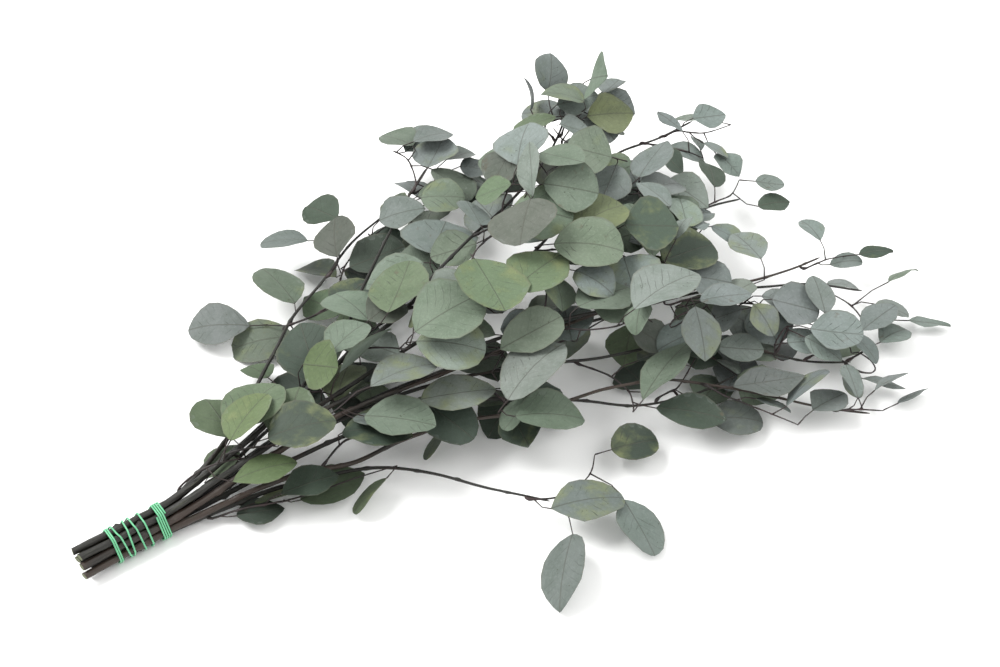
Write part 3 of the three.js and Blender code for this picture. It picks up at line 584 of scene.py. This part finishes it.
def leaf_template():
    """a straight flat leaf along X: stalk from -1 to 0, blade from 0 to 1, eight corners a ring"""
    bpy.ops.object.select_all(action="DESELECT")
    bpy.ops.mesh.primitive_circle_add(
        vertices=8, radius=0.01, fill_type="NGON", location=(-1, 0, 0), rotation=(0, math.pi / 2, 0)
    )
    leaf = bpy.context.object
    leaf.name = "leaf_template"
    bpy.ops.object.transform_apply(location=True, rotation=True, scale=True)
    bpy.ops.object.mode_set(mode="EDIT")
    bpy.ops.mesh.select_all(action="SELECT")
    for _ in range(STALK_STEPS):
        bpy.ops.mesh.extrude_region_move(TRANSFORM_OT_translate={"value": (1 / STALK_STEPS, 0, 0)})
    before = 0.0
    width = 0.01
    for step in range(1, BLADE_STEPS + 1):
        part = (1 - math.cos(math.pi * step / BLADE_STEPS)) / 2
        wide = max(0.5 * math.sin(math.pi * step / BLADE_STEPS), 0.01)
        bpy.ops.mesh.extrude_region_move(TRANSFORM_OT_translate={"value": (part - before, 0, 0)})
        bpy.ops.transform.resize(value=(1, wide / width, 1))
        before, width = part, wide
    bpy.ops.mesh.merge(type="CENTER")
    bpy.ops.mesh.select_all(action="SELECT")
    bpy.ops.mesh.normals_make_consistent(inside=False)
    bpy.ops.object.mode_set(mode="OBJECT")
    return leaf


def station(ring, across):
    """middle, half width vector and rise of the edges of one ring of a leaf's solid"""
    pairs = [(a, b) for i, a in enumerate(ring) for b in ring[i + 1 :]]
    a, b = max(pairs, key=lambda pair: (pair[0] - pair[1]).length)
    ridge = [corner for corner in ring if corner is not a and corner is not b]
    if across and (a - b).dot(across) < 0:
        a, b = b, a
    spot = middle(ridge)
    return spot, (a - b) / 2, (a + b) / 2 - spot


def between(values, part):
    """smooth value at a part of the way through evenly placed or marked values"""
    for i in range(len(values) - 1):
        if part <= values[i + 1][0] or i == len(values) - 2:
            four = [values[max(i - 1, 0)], values[i], values[i + 1], values[min(i + 2, len(values) - 1)]]
            t = (part - four[1][0]) / (four[2][0] - four[1][0])
            return eased(*[value[1] for value in four], min(max(t, 0.0), 1.0))
    return values[-1][1]


class Leaf:
    """one leaf's own outline, read from its solid"""

    def __init__(self, rings, root, chance):
        self.root = root
        self.stalk = middle(rings[0])
        self.foot = middle(rings[1])
        self.tip = rings[5][0]
        self.along = (self.tip - self.foot).normalized()
        self.length = (self.tip - self.foot).length
        first = station(rings[2], None)
        if self.along.cross(first[1]).z < 0:
            first = (first[0], -first[1], first[2])
        stations = [first, station(rings[3], first[1]), station(rings[4], first[1])]
        self.across = stations[1][1].normalized()
        self.face = self.along.cross(self.across).normalized()
        marks = [0.0]
        marks += [(spot - self.foot).dot(self.along) / self.length for spot, _, _ in stations] + [1.0]
        middles = [self.foot] + [spot for spot, _, _ in stations] + [self.tip]
        self.line = list(zip(marks, middles))
        turns = [math.acos(max(-1.0, min(1.0, 1 - 2 * mark))) for mark in marks]
        halves = [0.0] + [half.length for _, half, _ in stations] + [0.0]
        self.halves = list(zip(turns, halves))
        rises = [0.0] + [rise.dot(self.face) for _, _, rise in stations] + [0.0]
        self.rises = list(zip(marks, rises))
        self.width = 2 * max(halves)
        self.wave = [chance.uniform(0.3, 1.0) * 0.0015, chance.uniform(0, 6), chance.uniform(4, 8)]
        self.rim = [chance.uniform(0.3, 1) * 0.055, chance.uniform(0, 6), chance.uniform(6, 12)]
        self.twist = chance.uniform(-0.12, 0.12)
        self.ends = (chance.uniform(0.1, 1.3), 1.4 * chance.random() ** 1.5)  # how pointed at foot and tip
        self.curl = chance.uniform(-0.3, 1.0) * 0.0018

    def half(self, part, side):
        """half width at a part of the length; the two sides of a leaf are never quite alike"""
        turn = math.acos(max(-1.0, min(1.0, 1 - 2 * part)))
        wide = max(between(self.halves, turn), 0.0)
        slim = 1.05 * math.sin(turn) ** self.ends[0 if part < 0.5 else 1]
        size, phase, beat = self.rim
        return max(wide * slim * (1 + size * math.sin(beat * part + phase + side)), STALK_WIDTH / 2)

    def blade(self, part, side, up):
        """a spot on the blade: part along, side across from -1 to 1, up from -1 to 1"""
        spot = between(self.line, part)
        half = self.half(part, side)
        size, phase, beat = self.wave
        turn = self.twist * (part - 0.3)
        across = self.across * math.cos(turn) + self.face * math.sin(turn)
        rise = between(self.rises, part) * side * side
        rise += size * abs(side) ** 2 * math.sin(beat * part + phase + 2.2 * side) * min(1, part * 5)
        rise -= self.curl * max(0.0, part - 0.55) ** 2 / 0.2
        ridge = 0.0003 * (1 - part) if up < -0.9 else 0.0
        thick = LEAF_THICK / 2 if part > 0.02 else STALK_WIDTH / 2
        thick *= 1 - 0.4 * part
        return spot + across * half * side + self.face * (rise + up * thick - ridge)

    def stem(self, part, side, up):
        """a spot on the stalk, part from -1 at the twig to 0 at the blade"""
        t = part + 1
        ahead = self.foot + self.along * 0.01
        line = [(0.0, self.root), (0.55, self.stalk), (1.0, self.foot), (1.6, ahead)]
        spot = between(line, t)
        way = (between(line, min(t + 0.05, 1.5)) - between(line, max(t - 0.05, 0.0))).normalized()
        across = (self.across - way * self.across.dot(way)).normalized()
        radius = STALK_WIDTH / 2 * (1.15 - 0.25 * t + 0.3 * max(0.0, 1 - 4 * t))
        return spot + across * side * radius + way.cross(across) * up * radius


def noted(mesh, name, kind, key, values):
    """keep a value for every corner of a mesh, for its finish to read"""
    mesh.attributes.new(name, kind, "POINT").data.foreach_set(key, values)


def grown_leaf(template, places, leaf, tone, age, chance, name):
    mesh = template.data.copy()
    mesh.name = name
    spots, colours, years, edges = [], [], [], []
    shift = chance.uniform(0, 9)
    for index, (part, side, up) in enumerate(places):
        if part < -0.001:
            mesh.vertices[index].co = leaf.stem(part, side, up)
            spots += (part * 0.015, side * STALK_WIDTH / 2, shift)
        else:
            mesh.vertices[index].co = leaf.blade(part, side, up)
            spots += (part * leaf.length, leaf.half(part, side) * side, shift)
        colours += (*tone, 1)
        years += (age[0], age[1], 1.0 if up < -0.1 else 0.0)
        edges.append(abs(side))
    noted(mesh, "leaf_place", "FLOAT_VECTOR", "vector", spots)
    noted(mesh, "leaf_tone", "FLOAT_COLOR", "color", colours)
    noted(mesh, "leaf_age", "FLOAT_VECTOR", "vector", years)
    noted(mesh, "leaf_edge", "FLOAT", "value", edges)
    piece = bpy.data.objects.new(name, mesh)
    bpy.context.scene.collection.objects.link(piece)
    return piece


def leaf_finish():
    material, shader = new_finish("dried_leaf", Specular_IOR_Level=0.35)
    spot = read(material, "leaf_place")
    split = spot.node("ShaderNodeSeparateXYZ", None, {0: spot})
    along, across = Shade(spot.tree, split.outputs[0]), Shade(spot.tree, split.outputs[1])
    tone = read(material, "leaf_tone", "Color")
    years = spot.node("ShaderNodeSeparateXYZ", None, {0: read(material, "leaf_age")})
    yellow, worn, under = (Shade(spot.tree, years.outputs[i]) for i in range(3))
    rim = read(material, "leaf_edge", "Fac")
    cloudy = spot.patches(55.0, 3.0, 0.6)
    fine = spot.patches(420.0, 3.0, 0.65)
    grain = spot.patches(1500.0, 2.0, 0.6)
    wobble = (spot.patches(80.0, 1.0) - 0.5) * 0.006
    bent = across.size()
    slant = along - bent * 0.95 + wobble + bent * bent * 9.0
    saw = slant.sum("FRACT", slant / 0.0066) - 0.5
    side_vein = saw.size().within(0.075, 0.015) * bent.within(0.0003, 0.0012) * rim.within(0.97, 0.8)
    side_vein = side_vein * spot.patches(75.0, 2.0).within(0.4, 0.58)
    midrib = bent.within(0.0007, 0.0002) * along.within(0.0, 0.002)
    net = spot.of("ShaderNodeTexVoronoi", {"feature": "DISTANCE_TO_EDGE"}, {"Vector": spot, "Scale": 620.0})
    netted = net.within(0.09, 0.0)
    colour = (cloudy.within(0.35, 0.7) * 0.6).mixed(
        tone, tone.of("ShaderNodeVectorMath", {"operation": "MULTIPLY"}, {0: tone, 1: (0.68, 0.74, 0.68)})
    )
    dusty = tone.of("ShaderNodeVectorMath", {"operation": "MULTIPLY"}, {0: tone, 1: (1.5, 1.5, 1.55)})
    colour = (fine.within(0.45, 0.75) * 0.35).mixed(colour, dusty)
    gone_yellow = (cloudy + yellow + rim * 0.12).within(1.0, 1.35)
    colour = (gone_yellow * 0.6).mixed(colour, (0.2, 0.225, 0.1))
    gone_brown = (spot.patches(95.0, 3.0, 0.65) + worn * 0.5).within(0.95, 1.12)
    colour = (gone_brown * 0.7).mixed(colour, (0.09, 0.075, 0.05))
    colour = (rim.within(0.9, 1.0) * 0.35).mixed(colour, (0.11, 0.105, 0.075))
    cracked = side_vein * (0.2 + worn * spot.patches(60.0, 1.0).within(0.5, 0.6))
    colour = cracked.mixed(colour, (0.045, 0.05, 0.04))
    colour = (netted * 0.14).mixed(colour, (0.06, 0.075, 0.062))
    colour = (midrib * 0.5).mixed(colour, (0.06, 0.06, 0.045))
    specks = spot.of("ShaderNodeTexVoronoi", {"feature": "F1"}, {"Vector": spot, "Scale": 330.0})
    dots = (specks + fine * 0.25).within(0.34, 0.2) * spot.patches(110.0, 2.0).within(0.52, 0.66)
    colour = (dots * 0.75).mixed(colour, (0.035, 0.028, 0.02))
    colour = (under * 0.3).mixed(colour, (0.22, 0.25, 0.23))
    colour = along.within(0.002, -0.001).mixed(colour, (0.03, 0.022, 0.02))
    spot.tree.links.new(colour.socket, shader.inputs["Base Color"])
    rough = 0.52 + cloudy * 0.16 + fine * 0.1 - midrib * 0.06
    spot.tree.links.new(rough.socket, shader.inputs["Roughness"])
    height = midrib * 1.3 + side_vein * 0.7 + netted * 0.16 + grain * 0.22 + fine * 0.5
    height = height + spot.patches(48.0, 1.0) * 5.0
    relief(shader, height, 0.75, 0.00032)
    return material


leaf_skin = leaf_finish()
template = leaf_template()
widths = {}
for corner in template.data.vertices:
    row = round(corner.co.x, 4)
    wide, thick = widths.get(row, (1e-9, 1e-9))
    widths[row] = (max(wide, abs(corner.co.y)), max(thick, abs(corner.co.z)))
places = []
for corner in template.data.vertices:
    wide, thick = widths[round(corner.co.x, 4)]
    places.append((corner.co.x, corner.co.y / wide, corner.co.z / thick))

low, high = solid_box
for number, node in enumerate(sprig_nodes):
    leaves, course, attached = sprigs[node]
    pieces = []
    for index, rings in enumerate(leaves):
        chance = random.Random(f"{node} leaf {index}")
        leaf = Leaf(rings, course.at(attached[index])[0], chance)
        out = (leaf.tip.x - low[0]) / (high[0] - low[0])
        depth = leaf.foot.z / high[2]
        pick = chance.random()
        turned = [tone for spot, tone in TURNED.items() if (leaf.foot - Vector(spot)).length < TURNED_REACH]
        if turned:
            name = turned[0]
        elif out < 0.34 and depth < 0.45 and abs(leaf.foot.y) < 0.1:
            name = "fresh" if pick < 0.4 else "green" if pick < 0.75 else "dark"
        elif out > TIPS_FROM or leaf.width < SMALL_LEAF or abs(leaf.foot.y) > (0.1 if out < 0.4 else 0.15):
            name = "blue" if pick < 0.62 else "light" if pick < 0.76 else "sage" if pick < 0.9 else "dark"
        # leaves low in the heap mostly take the dark tone, as painted shade where the heap shades its lower
        # leaves
        elif depth < 0.3 and out > 0.2:
            name = "dark" if pick < 0.55 else "green" if pick < 0.8 else "sage" if pick < 0.94 else "olive"
        else:
            name = "sage" if pick < 0.4 else "green" if pick < 0.52 else "blue" if pick < 0.68 else "light"
            name = "olive" if pick > 0.96 else "brown" if pick > 0.89 else "dark" if pick > 0.82 else name
        tone = TONES[name]
        # the tone varies at random, and leaves lower in the heap (except the outer tips) are also painted
        # darker, as painted shade
        varied_tone_and_painted_shade = chance.uniform(0.92, 1.18) * (0.68 + 0.32 * min(1.0, depth * 1.6) if out < 0.8 else 1.0)
        tone = tuple(value * varied_tone_and_painted_shade * chance.uniform(0.97, 1.03) for value in tone)
        age = (chance.choice((0.0, 0.2, 0.35, 0.5)), chance.choice((0.0, 0.2, 0.4, 0.7)))
        pieces.append(grown_leaf(template, places, leaf, tone, age, chance, f"{node}_leaf_{index + 1}"))
    if not pieces:
        continue
    keep_only(*pieces)
    if len(pieces) > 1:
        bpy.ops.object.join()
    piece = bpy.context.view_layer.objects.active
    piece.name = f"leaves_{number + 1:02d}"
    piece.data.materials.append(leaf_skin)
    bpy.ops.object.shade_smooth_by_angle(angle=math.radians(100))
    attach(piece, "root")
    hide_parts(node)
bpy.data.objects.remove(template)

# ---- elastic ----
# The bunch is held near its cut ends by green rubber elastic, a round cord about 1.3 mm thick,
# wound tight: six turns from the back to the middle, some slanting, and four close ones in front.

ELASTIC_SIDES = 8
ELASTIC_RADIUS = 0.00066
ELASTIC_GREEN = (0.1, 0.42, 0.2)


def cord_rings(node):
    """middles of a wound cord's rings, in order from one end"""
    shape = merged(node)
    ends = [v for v in shape.verts if len(v.link_edges) < 6]
    first = ends[0]
    ring = {v for v in ends if (v.co - first.co).length < 0.0016}
    seen = set(ring)
    spots = []
    while ring:
        spots.append(middle([v.co for v in in_order(ring)]))
        ring = {e.other_vert(v) for v in ring for e in v.link_edges} - seen
        seen |= ring
    shape.free()
    return spots


def elastic_finish():
    material, shader = new_finish("green_elastic", Specular_IOR_Level=0.5)
    place = read(material, "grain")
    ribs = place.scaled((2400.0, 2400.0, 40.0)).patches(1.0, 2.0)
    worn = place.scaled((160.0, 160.0, 160.0)).patches(1.0, 3.0)
    colour = ribs.within(0.4, 0.7).mixed(ELASTIC_GREEN, (0.22, 0.56, 0.34))
    colour = (worn.within(0.55, 0.75) * 0.4).mixed(colour, (0.03, 0.28, 0.13))
    place.tree.links.new(colour.socket, shader.inputs["Base Color"])
    place.tree.links.new((0.36 + worn * 0.25).socket, shader.inputs["Roughness"])
    relief(shader, ribs, 0.35, 0.00015)
    return material


elastic = elastic_finish()
cord_nodes = sorted(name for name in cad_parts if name.startswith("elastic_band"))
for number, node in enumerate(cord_nodes):
    chance = random.Random(node)
    spots = cord_rings(node)
    cord_rod = round_rod("cord_rod", ELASTIC_SIDES, len(spots) * 3)
    course = Course([(spot, ELASTIC_RADIUS) for spot in spots], 0.0012)
    piece = laid_rod(cord_rod, f"elastic_{number + 1}", course, chance, [], 0.00012, 0.25)
    piece.data.materials.append(elastic)
    bpy.data.objects.remove(cord_rod)
    keep_only(piece)
    bpy.ops.object.shade_smooth_by_angle(angle=math.radians(60))
    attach(piece, "root")
    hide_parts(node)

# ---- table, light and camera ----
# The bunch lies on a plain white table under large soft lamps from the far left, so that its
# shadows are faint and fall towards the near right.

bpy.ops.object.select_all(action="DESELECT")
bpy.ops.mesh.primitive_plane_add(size=9, location=(0, 0, 0))
table = bpy.context.object
table.name = "table"
white, white_shader = new_finish("white_table", Roughness=0.9, Specular_IOR_Level=0.2)
white_shader.inputs["Base Color"].default_value = (0.94, 0.94, 0.93, 1)
table.data.materials.append(white)


def lamp(name, place, aim_at, size, power):
    light = bpy.data.lights.new(name, "AREA")
    light.shape = "DISK"
    light.size = size
    light.energy = power
    piece = bpy.data.objects.new(name, light)
    piece.location = place
    piece.rotation_euler = (Vector(aim_at) - Vector(place)).to_track_quat("-Z", "Y").to_euler()
    bpy.context.scene.collection.objects.link(piece)


lamp("main_lamp", (-1.2, 1.5, 2.6), (0.05, 0, 0), 1.8, 104)
lamp("fill_lamp", (1.6, -1.2, 2.4), (0.05, 0, 0), 2.4, 36)
world = bpy.data.worlds.new("studio")
world.use_nodes = True
world.node_tree.nodes["Background"].inputs["Color"].default_value = (1, 1, 1, 1)
world.node_tree.nodes["Background"].inputs["Strength"].default_value = 1.0
bpy.context.scene.world = world
bpy.context.scene.view_settings.view_transform = "Standard"

camera_data = bpy.data.cameras.new("camera")
camera_data.lens = 70
camera_data.sensor_width = 36
camera = bpy.data.objects.new("camera", camera_data)
camera.location = (-0.5619, -0.8346, 1.1557)
toward = Vector((0.0351, 0.0181, -0.0003)) - camera.location
camera.rotation_euler = toward.to_track_quat("-Z", "Y").to_euler()
bpy.context.scene.collection.objects.link(camera)
bpy.context.scene.camera = camera
